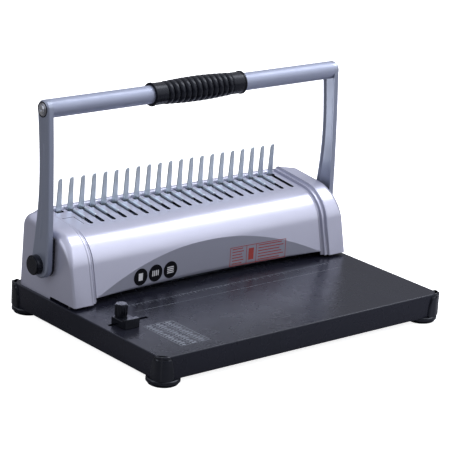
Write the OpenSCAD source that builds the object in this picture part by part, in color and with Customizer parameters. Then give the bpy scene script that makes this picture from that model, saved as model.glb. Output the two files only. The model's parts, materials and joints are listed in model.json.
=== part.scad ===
// Manual comb binding machine: one handle punches the sheets and opens the plastic comb.
// X runs along the machine, Y from front to back, Z up. The origin lies on the desk,
// under the centre of the base. All sizes are in millimetres.

/* [Binding pattern] */
// Distance between two comb rings
pitch = 14.2875; // [14.2:0.0125:14.3]
// Number of rings along one sheet
ring_count = 21; // [15:2:21]
// Width of a punched hole
hole_w = 8; // [6:0.5:8]
// Depth of a punched hole
hole_d = 3; // [2.5:0.1:3.2]

/* [Base] */
// Width of the base
base_w = 370; // [366:1:380]
// Depth of the base
base_d = 256; // [250:1:262]
// Height of the table surface
table_z = 31.5; // [30:0.5:32]
// Height of the lower edge of the base wall
wall_z = 7; // [6:0.5:8]
// Thickness of the base sheet
sheet_t = 1.5; // [1.2:0.1:2]
// Width of a corner post along each wall
post_w = 20; // [16:1:22]

/* [Casing] */
// Overall width over both end caps
casing_w = 364.6; // [362:0.2:365]
// Distance of the front edge of the end caps from the base centre
front_y = 18.5; // [16:0.5:20]
// Height of that front edge
front_z = 34.5; // [34:0.1:35]
// Lean of the casing front from upright
front_lean = 12.5; // [11:0.5:13]
// Slope of the casing top down to the front
top_slope = 6.5; // [6:0.1:7]
// Radius of the front shoulder
shoulder_r = 42; // [40:1:44]
// Height of the end caps above the finger row
ridge_z = 110.5; // [110:0.5:112]
// Radius along the outer edge of an end cap
edge_r = 9; // [6:0.5:9]
// Drop from an end cap to the centre cover
cover_drop = 5; // [4.5:0.1:5]
// Depth of the hollow in the front of the centre cover
scoop_depth = 8; // [6:0.5:8]
// Wall thickness of the plastic shells
shell_t = 2.5; // [2:0.1:2.5]

/* [Fingers and hooks] */
// Height of the fingers above the cover
finger_h = 35; // [30:1:38]
// Width of a finger at its foot
finger_w = 6.5; // [5:0.1:6.5]
// Width of a slot in the cover
slot_w = 5; // [4:0.1:5]
// Length of a slot in front of its window
slot_len = 35; // [34.8:0.1:36]

/* [Handle] */
// Height of the handle tube
tube_z = 229; // [215:1:235]
// Diameter of the handle tube
tube_d = 19; // [17:0.5:20]
// Length of the rubber grip
grip_len = 120; // [100:5:140]
// Forward bow of the arms at half height
arm_bow = 4.5; // [0:0.5:7]

/* [Hidden] */

$fn = 48;
eps = 0.5;              // overshoot of cutting bodies
far = 400;              // size of clipping bodies

// Binding pattern
ring_span = (ring_count - 1) * pitch;
row_x = [for (i = [0:ring_count - 1]) i * pitch - ring_span / 2];

// Casing outline, drawn in the YZ plane
ridge_y = 104;
rear_y = 121;
rear_lean = 2.5;
rear_r = 6;
cap_x = casing_w / 2;
cap_inner_x = cap_x - 28;
ledge_x = cap_inner_x - 3;
cover_x = ledge_x - 0.2;
cover_z = table_z + 7;
lip_z = 90;
step_y = 62;
front_n = [cos(front_lean), -sin(front_lean)];
top_n = [sin(top_slope), -cos(top_slope)];
rear_n = [-cos(rear_lean), -sin(rear_lean)];
front_p = [front_y, front_z];
top_p = [ridge_y, ridge_z];
rear_p = [rear_y, table_z];
cover_front_y = front_y + cover_drop + (cover_z - front_z) * tan(front_lean);
scoop_half = 150;
scoop_r = (scoop_half * scoop_half + scoop_depth * scoop_depth) / (2 * scoop_depth);

// Pivot of the handle and drive shaft
pivot_y = 70.5;
pivot_z = 68;
shaft_d = 10;
fit = 0.03;             // radial clearance of a running fit
slack = 0.3;            // clearance of a moving part that isn't guided
hub_d = 18;

// Side frames
frame_x = 147.5;
frame_t = 3;

// Punching parts
punch_y = 52;
die_t = 5;
throat_h = 3.5;
guide_t = 8;
die_y0 = 44;
die_d = 18;
bar_z0 = 60;
bar_h = 10;
bar_d = 12;
punch_end_z = table_z + throat_h + 1;
stroke = 12;
crank_swing = 75;
crank_r = stroke / (2 * sin(crank_swing / 2));
pin_d = 6;
fork_x = 153.5;
fork_t = 4;
crank_x = 158.5;
crank_t = 4;

// Comb opening parts
open_travel = 13.5;
open_swing = 35;
lever_r = open_travel / (2 * sin(open_swing / 2));
slide_x = 164.5;
slide_t = 2.5;
dog_x = 167.4;
dog_t = 3;
lever_x = 171;
lever_t = 3;
finger_y = 107.5;
finger_t = 1.5;
finger_taper = 2.2;
slot_dx = 1.1;
hook_w = 2.4;
hook_len = 20;
hook_rise = 2.5;

// Handle
arm_out_x = 193;
arm_depth = 7;
arm_t = 2;
arm_in_x = arm_out_x - arm_depth;
tube_y = 70;
arm_top_r = 9.5;
arm_waist = 1.4;
arm_low_r = 14;

// Edge guide
guide_at = [-161, -30];
guide_slot = [-176, -128];
guide_slot_w = 4.6;

// ---------- general shapes ----------

// Places a drawing of the YZ plane at x and gives it a width along X
module along_x(x, w) {
    translate([x, 0, 0]) rotate([90, 0, 90]) linear_extrude(w) children();
}

// A child and its mirror image on the other side of the machine
module both_sides() {
    children();
    mirror([1, 0, 0]) children();
}

// A round bar along X that starts at x
module rod_x(x, w, d, y = pivot_y, z = pivot_z) {
    translate([x, y, z]) rotate([0, 90, 0]) cylinder(d = d, h = w);
}

// A screw along Z: the head hangs below z, the shank rises above it
module screw_up(z, shank, len, head, head_h) {
    translate([0, 0, z]) cylinder(d = shank, h = len);
    translate([0, 0, z - head_h]) cylinder(d = head, h = head_h);
}

// A rectangle with four rounded corners, made of true arcs
module round_rect(w, d, r) {
    square([w - 2 * r, d], center = true);
    square([w, d - 2 * r], center = true);
    for (sx = [-1, 1], sy = [-1, 1])
        translate([sx * (w / 2 - r), sy * (d / 2 - r)]) circle(r);
}

// ---------- casing outline ----------

// Centre of an arc that keeps distance da from line a and db from line b
function arc_centre(na, pa, da, nb, pb, db) =
    let (ra = na * pa + da, rb = nb * pb + db, det = na[0] * nb[1] - na[1] * nb[0])
    [(ra * nb[1] - na[1] * rb) / det, (na[0] * rb - nb[0] * ra) / det];

front_c = arc_centre(front_n, front_p, shoulder_r, top_n, top_p, shoulder_r);

// Centre of the rear arc for a shell set in by i at the top and by j at the rear
function rear_c(i, j, r) = arc_centre(top_n, top_p, i + r, rear_n, rear_p, j + r);

// Point on the front line, set in by i, at height z
function front_pt(i, z) = [front_y + i / cos(front_lean) + (z - front_z) * tan(front_lean), z];

// Point on the rear line, set in by j, at height z
function rear_pt(j, z) = [rear_y - j / cos(rear_lean) - (z - table_z) * tan(rear_lean), z];

// Points of an arc of radius r about c, from the side that faces against normal na to nb
function arc_points(c, r, na, nb, steps) =
    let (a0 = atan2(-na[1], -na[0]), a1 = atan2(-nb[1], -nb[0]), sweep = (a0 - a1 + 360) % 360)
    [for (k = [0:steps]) let (a = a0 - sweep * k / steps) c + r * [cos(a), sin(a)]];

// Side view of the casing, set in by i at the front and top and by j at the rear
module casing_outline(i, j, z0 = table_z) {
    r = max(rear_r - max(i, j), 2);
    polygon(concat(
        [front_pt(i, z0)],
        arc_points(front_c, shoulder_r - i, front_n, top_n, 20),
        arc_points(rear_c(i, j, r), r, top_n, rear_n, 12),
        [rear_pt(j, z0)]));
}

// Places a child on the sloping top of the centre cover: y forward is negative, z points out
module on_cover_top() {
    translate([0, ridge_y, ridge_z - cover_drop / cos(top_slope)]) rotate([top_slope, 0, 0])
        children();
}

// ---------- base ----------

module base_plate() {
    color([0.13, 0.13, 0.15]) difference() {
        translate([0, 0, wall_z]) linear_extrude(table_z - wall_z) round_rect(base_w, base_d, 8);
        translate([0, 0, wall_z - eps]) linear_extrude(table_z - wall_z - sheet_t + eps)
            round_rect(base_w - 2 * sheet_t, base_d - 2 * sheet_t, 8 - sheet_t);
        // seat of the lower die
        translate([-frame_x, die_y0, table_z - 5]) cube([2 * frame_x, die_d, 10]);
        // slot of the edge guide
        translate([guide_slot[0], guide_at[1] - guide_slot_w / 2, table_z - 5])
            cube([guide_slot[1] - guide_slot[0], guide_slot_w, 10]);
        // opening for the chip tray
        translate([base_w / 2 - 5, tray_y0 - slack, tray_z0 - slack])
            cube([10, tray_d + 2 * slack, tray_h + 2 * slack]);
        for (p = cap_screw_points) translate([p[0], p[1], 0]) cylinder(d = 4.2, h = far);
        for (p = frame_bolt_points) translate([p[0], p[1], 0]) cylinder(d = 5.2, h = far);
        for (p = cover_screw_points) translate([p[0], p[1], 0]) cylinder(d = 3.2, h = far);
    }
}

module bottom_cover() {
    color([0.2, 0.2, 0.21]) difference() {
        translate([0, 0, wall_z]) linear_extrude(1.2)
            round_rect(base_w - 2 * sheet_t - 0.4, base_d - 2 * sheet_t - 0.4, 6);
        for (p = foot_points) translate([p[0], p[1], 0]) cylinder(d = 4.2, h = 20);
    }
}

foot_points = [for (sx = [-1, 1], sy = [-1, 1]) [sx * (base_w / 2 - 10), sy * (base_d / 2 - 10)]];
post_out = 2;
flare = 2;
post_plate_z = 3;
foot_r = 17;
foot_c = foot_r - post_out - flare;

// Wing of a post along a wall, bounded by a quarter ellipse
module wing_outline(h) {
    top_w = 9;
    polygon(concat([[-post_out, 0]],
        [for (a = [0:7.5:90]) [top_w + (post_w - post_out - top_w) * cos(a), h * sin(a)]],
        [[-post_out, h]]));
}

// Wing of a post along the wall that runs to +X
module post_wing(h) {
    inside = 9;
    translate([0, inside, post_plate_z]) rotate([90, 0, 0]) linear_extrude(inside + post_out)
        wing_outline(h);
}

// One corner post in its own corner, with the walls running to +X and +Y
module corner_post() {
    h = table_z + 0.8 - post_plate_z;
    difference() {
        union() {
            post_wing(h);
            mirror([1, -1, 0]) post_wing(h);
            translate([foot_c, foot_c, post_plate_z])
                cylinder(r = foot_r, h = wall_z - post_plate_z);
        }
        // room for the walls of the base
        translate([0, 0, wall_z]) linear_extrude(far) intersection() {
            translate([base_w / 2, base_d / 2]) round_rect(base_w, base_d, 8);
            square(60);
        }
        // rounded outer corner
        translate([-post_out, -post_out, wall_z]) linear_extrude(far) corner_waste(10);
        translate([10, 10, 0]) cylinder(d = 4.2, h = 20);
    }
}

// What a rounded corner takes away from a square one
module corner_waste(r) {
    difference() {
        translate([-eps, -eps]) square(r + eps);
        translate([r, r]) circle(r);
    }
}

// Places a child of the front left corner in all four corners
module four_corners() {
    for (mx = [0, 1], my = [0, 1])
        mirror([mx, 0, 0]) mirror([0, my, 0])
            translate([-base_w / 2, -base_d / 2, 0]) children();
}

module corner_posts() {
    color([0.07, 0.07, 0.08]) four_corners() corner_post();
}

module rubber_feet() {
    color([0.05, 0.05, 0.05]) four_corners() difference() {
        translate([foot_c, foot_c, 0]) cylinder(r = foot_r - 2, h = post_plate_z);
        translate([10, 10, -eps]) cylinder(d = 9, h = far);
    }
}

module foot_screws() {
    color([0.6, 0.6, 0.62]) for (p = foot_points)
        translate([p[0], p[1], 0]) screw_up(post_plate_z, 4, 8, 8, 1.8);
}

// ---------- chip tray ----------

tray_x0 = -150;
tray_y0 = 40;
tray_d = 62;
tray_z0 = wall_z + 2.2;
tray_h = 14.5;

module chip_tray() {
    color([0.08, 0.08, 0.09]) difference() {
        union() {
            translate([tray_x0, tray_y0, tray_z0])
                cube([base_w / 2 - tray_x0, tray_d, tray_h]);
            // pull rim on the end
            translate([base_w / 2, tray_y0 + 12, tray_z0 + 3]) cube([2, tray_d - 24, 3]);
        }
        translate([tray_x0 + 2, tray_y0 + 2, tray_z0 + 1.6])
            cube([base_w / 2 - tray_x0 - 4, tray_d - 4, tray_h]);
    }
}

module tray_rails() {
    rail_z0 = wall_z + 1.2;
    color([0.62, 0.63, 0.65]) for (y = [tray_y0 - 2.5, tray_y0 + tray_d + 0.5])
        translate([tray_x0, y, rail_z0]) cube([base_w / 2 - sheet_t - tray_x0 - 4, 2, 9]);
    color([0.62, 0.63, 0.65]) for (y = [tray_y0 - 2.5, tray_y0 + tray_d - 5.5])
        translate([tray_x0, y, rail_z0]) cube([base_w / 2 - sheet_t - tray_x0 - 4, 8, 1]);
}

// ---------- casing ----------

cap_screw_points = [for (sx = [-1, 1], y = [34, 108]) [sx * 176.8, y]];
frame_bolt_points = [for (sx = [-1, 1], y = [72, 104]) [sx * 157.5, y]];
cover_screw_points = [for (sx = [-1, 1]) [sx * 120, 112]];

// Solid of an end cap with a rounded outer edge: a hull of thin slices
module cap_solid() {
    slice = 0.1;
    hull() {
        along_x(cap_inner_x, slice) casing_outline(0, 0);
        for (a = [0:22.5:90]) let (inset = edge_r * (1 - cos(a)))
            along_x(cap_x - edge_r * (1 - sin(a)) - slice, slice)
                casing_outline(inset, inset);
    }
}

module end_cap() {
    color([0.72, 0.72, 0.78]) {
        difference() {
            union() {
                cap_solid();
                along_x(ledge_x, 4) casing_outline(cover_drop / 2, 1);
            }
            along_x(cap_inner_x + shell_t, cap_x - cap_inner_x - 2 * shell_t - 1)
                casing_outline(shell_t, shell_t, table_z - 1);
            along_x(ledge_x - 1, 8) casing_outline(cover_drop, cover_drop, table_z - 2);
            // raised front edge that lets wide sheets pass
            translate([0, -far + step_y, 0]) cube([far, far, front_z]);
            rod_x(cap_x - 10, 20, hub_d + 0.8);
        }
        // screw pillars against the side wall
        for (p = cap_screw_points) if (p[0] > 0)
            translate([p[0], p[1], p[1] < step_y ? front_z : table_z]) difference() {
                cylinder(d = 7, h = 24);
                translate([0, 0, -1]) cylinder(d = 3.4, h = 18);
            }
    }
}

module end_cap_right() { end_cap(); }
module end_cap_left() { mirror([1, 0, 0]) end_cap(); }

module cap_screws() {
    color([0.6, 0.6, 0.62]) for (p = cap_screw_points)
        translate([p[0], p[1], 0]) screw_up(table_z - sheet_t, 3.4, 17, 7, 2.2);
}

// Tall cylinder whose wall shapes the hollow in the front of the cover
module scoop(r) {
    translate([0, cover_front_y + scoop_depth - scoop_r, 0]) cylinder(r = r, h = 200, $fn = 720);
}

module cover_slots() {
    for (i = [0:ring_count - 1]) {
        translate([row_x[i] - finger_w / 2 - 1, finger_y - 3.8, lip_z]) cube([9.5, 6, 30]);
        if (i > 0) translate([row_x[i] + slot_dx, 0, lip_z]) {
            translate([-slot_w / 2, ridge_y - slot_len + slot_w / 2, 0])
                cube([slot_w, slot_len, 30]);
            translate([0, ridge_y - slot_len + slot_w / 2, 0]) cylinder(d = slot_w, h = 30);
        }
    }
}

module centre_cover() {
    color([0.72, 0.72, 0.78]) difference() {
        union() {
            along_x(-cover_x, 2 * cover_x) casing_outline(cover_drop, 1, cover_z);
            // ridge behind the fingers, level with the end caps
            intersection() {
                along_x(-cover_x, 2 * cover_x) casing_outline(0.2, 0.2, cover_z);
                translate([-far / 2, finger_y + 3, lip_z]) cube([far, 50, 50]);
            }
        }
        scoop(scoop_r);
        difference() {
            along_x(-cover_x - eps, 2 * cover_x + 2 * eps)
                casing_outline(cover_drop + shell_t, 1 + shell_t, cover_z - eps);
            scoop(scoop_r + shell_t);
        }
        // everything behind the lip belongs to the rear cover
        translate([-far / 2, ridge_y + 8, 0]) cube([far, 50, lip_z]);
        cover_slots();
    }
}

module rear_cover() {
    color([0.13, 0.13, 0.15]) difference() {
        union() {
            intersection() {
                difference() {
                    along_x(-cover_x, 2 * cover_x) casing_outline(cover_drop, 1);
                    along_x(-cover_x - eps, 2 * cover_x + 2 * eps)
                        casing_outline(cover_drop + 2, 3, table_z - eps);
                }
                translate([-far / 2, ridge_y + 8, table_z]) cube([far, 50, lip_z - table_z - 0.2]);
            }
            for (p = cover_screw_points)
                translate([p[0] - 5, p[1] - 4, table_z]) cube([10, 11, 8]);
        }
        for (p = cover_screw_points) translate([p[0], p[1], 0]) cylinder(d = 2.6, h = 38);
    }
}

module cover_screws() {
    color([0.6, 0.6, 0.62]) for (p = cover_screw_points)
        translate([p[0], p[1], 0]) screw_up(table_z - sheet_t, 2.6, 7.5, 5.5, 1.8);
}

// ---------- frame ----------

// Side frame seen along X: foot behind the throat, windows for shaft, bar and hook carriage
module frame_outline() {
    difference() {
        polygon([
            [58, table_z], [113, table_z], [113, 98], [100, 98], [100, 82], [62, 82], [44, 78],
            [41, 70], [41, table_z + throat_h], [58, table_z + throat_h]
        ]);
        translate([pivot_y, pivot_z]) circle(d = 16);
        translate([punch_y - bar_d / 2 - slack, bar_z0 - stroke - 2])
            square([bar_d + 2 * slack, bar_h + stroke + 2 + 4]);
    }
}

module side_frame() {
    color([0.62, 0.63, 0.65]) difference() {
        union() {
            along_x(frame_x, frame_t) frame_outline();
            translate([frame_x + frame_t, 64, table_z]) cube([12, 48, frame_t]);
        }
        for (p = frame_bolt_points) if (p[0] > 0)
            translate([p[0], p[1], 0]) cylinder(d = 5.2, h = 50);
        for (p = finger_bolt_points)
            rod_x(frame_x - eps, 2 * frame_t, 4, y = p[0], z = p[1]);
        for (p = guide_bolt_points)
            rod_x(frame_x - eps, 2 * frame_t, 4, y = p[0], z = p[1]);
    }
}

finger_bolt_points = [[104, 92]];
guide_bolt_points = [[48, 39], [57, 39]];

module side_frame_right() { side_frame(); }
module side_frame_left() { mirror([1, 0, 0]) side_frame(); }

module frame_bolts() {
    color([0.6, 0.6, 0.62]) for (p = frame_bolt_points) translate([p[0], p[1], 0]) {
        screw_up(table_z - sheet_t, 5, 11, 9, 3);
        translate([0, 0, table_z + frame_t]) difference() {
            cylinder(d = 9.2, h = 4, $fn = 6);
            translate([0, 0, -eps]) cylinder(d = 5, h = 6);
        }
    }
}

module shaft_bushes() {
    color([0.72, 0.55, 0.28]) both_sides() difference() {
        union() {
            rod_x(frame_x, frame_t, 16);
            rod_x(frame_x - 1.5, 1.5, 20);
        }
        rod_x(frame_x - 5, 20, shaft_d + 2 * fit);
    }
}

// Side screws that hold a cross part between the frames
module side_screws(points) {
    color([0.6, 0.6, 0.62]) both_sides() for (p = points) {
        rod_x(frame_x - 6, 6 + frame_t, 4, y = p[0], z = p[1]);
        rod_x(frame_x + frame_t, 1, 7, y = p[0], z = p[1]);
    }
}

module lower_die() {
    color([0.62, 0.63, 0.65]) difference() {
        union() {
            translate([-frame_x, die_y0, table_z - die_t]) cube([2 * frame_x, die_d, die_t]);
            // flanges under the table sheet
            translate([-frame_x, die_y0 - 6, table_z - die_t])
                cube([2 * frame_x, die_d + 12, die_t - sheet_t]);
        }
        for (x = row_x) translate([x - hole_w / 2, punch_y - hole_d / 2, 0])
            cube([hole_w, hole_d, 50]);
        for (p = die_screw_points) translate([p[0], p[1], 0]) cylinder(d = 3, h = 50);
    }
}

die_screw_points = [for (x = [-120, 0, 120]) [x, 60]];

module die_screws() {
    color([0.6, 0.6, 0.62]) for (p = die_screw_points) translate([p[0], p[1], 0])
        screw_up(table_z - die_t, 3, die_t + throat_h + 5, 5.5, 1.6);
}

// Bar behind the throat: it sets the sheet depth and the gap between die and guide
module throat_spacer() {
    color([0.62, 0.63, 0.65]) difference() {
        translate([-frame_x, 58, table_z]) cube([2 * frame_x, 4, throat_h]);
        for (p = die_screw_points) translate([p[0], p[1], 0]) cylinder(d = 3, h = 50);
    }
}

module punch_guide() {
    z0 = table_z + throat_h;
    color([0.62, 0.63, 0.65]) difference() {
        translate([-frame_x, die_y0, z0]) cube([2 * frame_x, die_d, guide_t]);
        for (x = row_x) translate([x - hole_w / 2, punch_y - hole_d / 2, 0])
            cube([hole_w, hole_d, 100]);
        for (p = die_screw_points) translate([p[0], p[1], z0 - eps]) cylinder(d = 3, h = 5 + eps);
        both_sides() for (p = guide_bolt_points)
            rod_x(frame_x - 6, 10, 4, y = p[0], z = p[1]);
    }
}

module guide_bolts() { side_screws(guide_bolt_points); }

// ---------- fingers ----------

cover_top_z = ridge_z - cover_drop / cos(top_slope) + (finger_y - ridge_y) * tan(top_slope);

module finger_outline() {
    top = cover_top_z + finger_h;
    polygon([
        [-finger_w / 2, 95], [finger_w / 2, 95], [finger_w / 2, top - 0.6],
        [finger_w / 2 - 1, top], [finger_taper - finger_w / 2 + 1, top - 0.8],
        [finger_taper - finger_w / 2, top - 2.2], [-finger_w / 2, cover_top_z + 2]
    ]);
}

module finger_plate() {
    color([0.66, 0.7, 0.73]) difference() {
        union() {
            translate([0, finger_y + finger_t / 2, 0]) rotate([90, 0, 0])
                linear_extrude(finger_t) {
                    for (x = row_x) translate([x, 0]) finger_outline();
                    translate([-frame_x, 85]) square([2 * frame_x, 12]);
                }
            // end blocks that bolt to the frames
            both_sides() translate([frame_x - 10, 100, 86])
                cube([10, finger_y - finger_t / 2 - 100, 10]);
        }
        both_sides() for (p = finger_bolt_points)
            rod_x(frame_x - 6, 10, 4, y = p[0], z = p[1]);
    }
}

module finger_bolts() { side_screws(finger_bolt_points); }

// ---------- punching ----------

module punches() {
    gap = 0.05;
    color([0.55, 0.56, 0.58]) for (x = row_x)
        translate([x - hole_w / 2 + gap, punch_y - hole_d / 2 + gap, punch_end_z])
            cube([hole_w - 2 * gap, hole_d - 2 * gap, bar_z0 + bar_h - punch_end_z]);
}

// Crank pin at rest
pin_y = pivot_y - crank_r * cos(crank_swing / 2);
pin_z = pivot_z + crank_r * sin(crank_swing / 2);

module fork_outline() {
    difference() {
        translate([punch_y - bar_d / 2, bar_z0])
            square([pivot_y - shaft_d / 2 - 1.7 - punch_y + bar_d / 2, 22.5]);
        translate([pivot_y - crank_r - pin_d / 2 - 0.6, pin_z - pin_d / 2 - slack])
            square([20, pin_d + 2 * slack]);
    }
}

module press_bar() {
    gap = 0.05;
    color([0.5, 0.51, 0.53]) difference() {
        union() {
            translate([-fork_x - fork_t, punch_y - bar_d / 2, bar_z0])
                cube([2 * (fork_x + fork_t), bar_d, bar_h]);
            both_sides() along_x(fork_x, fork_t) fork_outline();
        }
        for (x = row_x) translate([x - hole_w / 2 + gap, punch_y - hole_d / 2 + gap, 0])
            cube([hole_w - 2 * gap, hole_d - 2 * gap, 100]);
    }
}

module punch_retainer() {
    color([0.62, 0.63, 0.65]) translate([-145, punch_y - 5, bar_z0 + bar_h])
        cube([290, 10, 1.5]);
}

// One coil spring, wound upwards. Its level cut is the stretch of ring that the wire crosses.
module coil(r, wire, h, turns) {
    cut = 360 * turns * wire / h;
    steps = 5;
    linear_extrude(h, twist = -360 * turns, slices = 10 * turns, $fn = 8) polygon(concat(
        [for (k = [0:steps]) (r + wire / 2) * [cos(cut * k / steps), sin(cut * k / steps)]],
        [for (k = [steps:-1:0]) (r - wire / 2) * [cos(cut * k / steps), sin(cut * k / steps)]]));
}

module return_springs() {
    color([0.55, 0.56, 0.58]) both_sides() translate([fork_x + fork_t / 2, punch_y, table_z])
        coil(3.4, 1.1, bar_z0 - table_z, 7);
}

// ---------- drive shaft ----------

module drive_shaft() {
    color([0.62, 0.63, 0.65]) rod_x(-arm_out_x + 1, 2 * arm_out_x - 2, shaft_d);
}

module crank_outline() {
    a = crank_swing / 2;
    difference() {
        union() {
            circle(9);
            translate([-crank_r * cos(a), crank_r * sin(a)]) circle(5.5);
        }
        circle(d = shaft_d);
        translate([-crank_r * cos(a), crank_r * sin(a)]) circle(d = pin_d);
    }
}

module drive_cranks() {
    color([0.5, 0.51, 0.53]) both_sides() along_x(crank_x, crank_t)
        translate([pivot_y, pivot_z]) crank_outline();
}

module crank_pins() {
    color([0.72, 0.73, 0.75]) both_sides()
        rod_x(fork_x, crank_x + crank_t - fork_x, pin_d, y = pin_y, z = pin_z);
}

dog_r = 11;
tooth_span = 24;

// Sector of a disc between two angles, for the dog and its tooth
module sector(r, a0, a1) {
    intersection() {
        circle(r);
        polygon(concat([[0, 0]], [for (k = [0:4]) let (a = a0 + (a1 - a0) * k / 4)
            2 * r * [cos(a), sin(a)]]));
    }
}

// Collar on the shaft with a notch: the handle drives it forward and runs free to the rear
module drive_dogs() {
    color([0.5, 0.51, 0.53]) both_sides() along_x(dog_x, dog_t)
        translate([pivot_y, pivot_z]) difference() {
            circle(dog_r);
            circle(d = shaft_d);
            difference() {
                sector(dog_r + 1, 90 - tooth_span / 2 - open_swing - 2, 90 + tooth_span / 2 + 1);
                circle(7);
            }
        }
}

module pivot_caps() {
    color([0.06, 0.06, 0.07]) both_sides() difference() {
        union() {
            rod_x(arm_out_x, 6, 20.5);
            rod_x(arm_out_x + 6, 1, 18.5);
        }
        rod_x(arm_out_x - 5, 10, shaft_d);
    }
    color([0.62, 0.63, 0.65]) both_sides() rod_x(arm_out_x - 1, 6, shaft_d);
}

// ---------- comb opening ----------

hook_z = -5;            // underside of the hook plate below the cover surface
hook_plate_t = 1.5;

module hook_plate() {
    color([0.66, 0.7, 0.73]) on_cover_top() {
        difference() {
            translate([-146, -26, hook_z]) cube([292, 20, hook_plate_t]);
            for (x = hook_screw_x) translate([x, -13, hook_z - eps]) cylinder(d = 3, h = 5);
        }
        for (i = [1:ring_count - 2])
            translate([row_x[i] + slot_dx - hook_w / 2, -hook_len - 0.5, hook_z])
                cube([hook_w, hook_len, hook_rise - hook_z]);
    }
}

hook_screw_x = [for (k = [-7.5, 0.5, 7.5]) k * pitch + slot_dx];

// Side view of a carriage plate that rides on the shaft by its long slot, open to the rear
module slide_outline() {
    lug_y = lever_pin_y - pin_d / 2 - slack;
    difference() {
        polygon([
            [lug_y, 37], [lug_y, 54], [80, 56.5], [82, 64], [95, 75], [95, 97], [81, 97],
            [78, 84], [62, 80], [59, 56], [62, 37]
        ]);
        translate([pivot_y, pivot_z]) rotate(top_slope) {
            translate([-shaft_d / 2 - slack, -shaft_d / 2 - slack])
                square([40, shaft_d + 2 * slack]);
        }
    }
}

module hook_carriage() {
    color([0.5, 0.51, 0.53]) {
        difference() {
            on_cover_top() translate([-slide_x - 1, -18, hook_z - 7])
                cube([2 * slide_x + 2, 9, 7]);
            on_cover_top() for (x = hook_screw_x)
                translate([x, -13, hook_z - 6]) cylinder(d = 3, h = 10);
        }
        both_sides() along_x(slide_x, slide_t) slide_outline();
    }
}

module hook_screws() {
    color([0.6, 0.6, 0.62]) on_cover_top() for (x = hook_screw_x)
        translate([x, -13, hook_z - 6]) cylinder(d = 3, h = 6 + hook_plate_t);
}

// Lever pin at rest
lever_pin_y = pivot_y + lever_r * sin(open_swing / 2);
lever_pin_z = pivot_z - lever_r * cos(open_swing / 2);

module opening_levers() {
    a = open_swing / 2;
    at = lever_r * [sin(a), -cos(a)];
    color([0.5, 0.51, 0.53]) both_sides() {
        along_x(lever_x, lever_t) translate([pivot_y, pivot_z]) difference() {
            union() {
                circle(14);
                translate(at) circle(5.5);
                polygon([at + 5.5 * [cos(a), sin(a)], at - 5.5 * [cos(a), sin(a)],
                    -10 * [cos(a), sin(a)], 10 * [cos(a), sin(a)]]);
            }
            circle(d = hub_d);
            translate(at) circle(d = pin_d);
        }
        // tooth that drives the dog on the shaft
        along_x(dog_x + 0.6, lever_x - dog_x - 0.6) translate([pivot_y, pivot_z]) difference() {
            sector(12.5, 90 - tooth_span / 2, 90 + tooth_span / 2);
            circle(7.5);
        }
    }
}

module lever_pins() {
    color([0.72, 0.73, 0.75]) both_sides()
        rod_x(slide_x - 0.5, lever_x + lever_t - slide_x + 0.5, pin_d,
            y = lever_pin_y, z = lever_pin_z);
}

// ---------- handle ----------

// Centre line and half width of an arm at height fraction t, from the pivot to the tube
function arm_mid(t) = pivot_y - 2 + (tube_y - pivot_y + 2) * t - arm_bow * sin(180 * t);
function arm_half(t) = arm_low_r - (arm_low_r - arm_top_r + arm_waist) * sin(90 * min(1, 1.5 * t))
    + arm_waist * pow(t, 4);

module arm_outline(trim) {
    steps = 12;
    length = tube_z - pivot_z;
    translate([tube_y, tube_z]) circle(arm_top_r - trim);
    translate([pivot_y - 2, pivot_z]) circle(arm_low_r - trim);
    polygon(concat(
        [for (k = [0:steps]) let (t = k / steps)
            [arm_mid(t) - arm_half(t) + trim, pivot_z + length * t]],
        [for (k = [steps:-1:0]) let (t = k / steps)
            [arm_mid(t) + arm_half(t) - trim, pivot_z + length * t]]));
}

// Pressed arm: a web on the outside with a shallow flange that turns inwards
module arm() {
    color([0.55, 0.56, 0.63]) difference() {
        union() {
            along_x(arm_in_x, arm_depth) arm_outline(0);
            // stiffening rib pressed outwards
            along_x(arm_out_x, 0.8) rib_outline(2.6);
        }
        difference() {
            along_x(arm_in_x - eps, arm_depth - arm_t + eps) arm_outline(1.8);
            rod_x(arm_in_x, arm_depth, hub_d + 4);
            rod_x(arm_in_x, arm_depth, 13, y = tube_y, z = tube_z);
        }
        rod_x(arm_in_x - 1, 10, shaft_d + 0.2);
        rod_x(arm_in_x - 1, 10, 6, y = tube_y, z = tube_z);
    }
}

module rib_outline(half) {
    steps = 8;
    t0 = 0.16;
    t1 = 0.8;
    function at(k) = t0 + (t1 - t0) * k / steps;
    polygon(concat(
        [for (k = [0:steps]) [arm_mid(at(k)) - half, pivot_z + (tube_z - pivot_z) * at(k)]],
        [for (k = [steps:-1:0]) [arm_mid(at(k)) + half, pivot_z + (tube_z - pivot_z) * at(k)]]));
    for (k = [0, steps])
        translate([arm_mid(at(k)), pivot_z + (tube_z - pivot_z) * at(k)]) circle(half);
}

module arm_right() { arm(); }
module arm_left() { mirror([1, 0, 0]) arm(); }

// Black pads that keep the arms clear of the end caps
module arm_pads() {
    color([0.06, 0.06, 0.07]) both_sides() along_x(cap_x + slack, arm_in_x - cap_x - slack)
        difference() {
            intersection() {
                arm_outline(0.6);
                square([far, pivot_z + 30]);
            }
            translate([pivot_y, pivot_z]) circle(d = hub_d);
        }
}

module arm_hubs() {
    color([0.62, 0.63, 0.65]) both_sides() difference() {
        rod_x(lever_x, arm_in_x - lever_x, hub_d);
        rod_x(lever_x - 5, 50, shaft_d + 2 * fit);
    }
}

module handle_tube() {
    color([0.6, 0.61, 0.68]) difference() {
        rod_x(-arm_in_x, 2 * arm_in_x, tube_d, y = tube_y, z = tube_z);
        rod_x(-arm_in_x - 1, 2 * arm_in_x + 2, tube_d - 3, y = tube_y, z = tube_z);
    }
}

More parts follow.
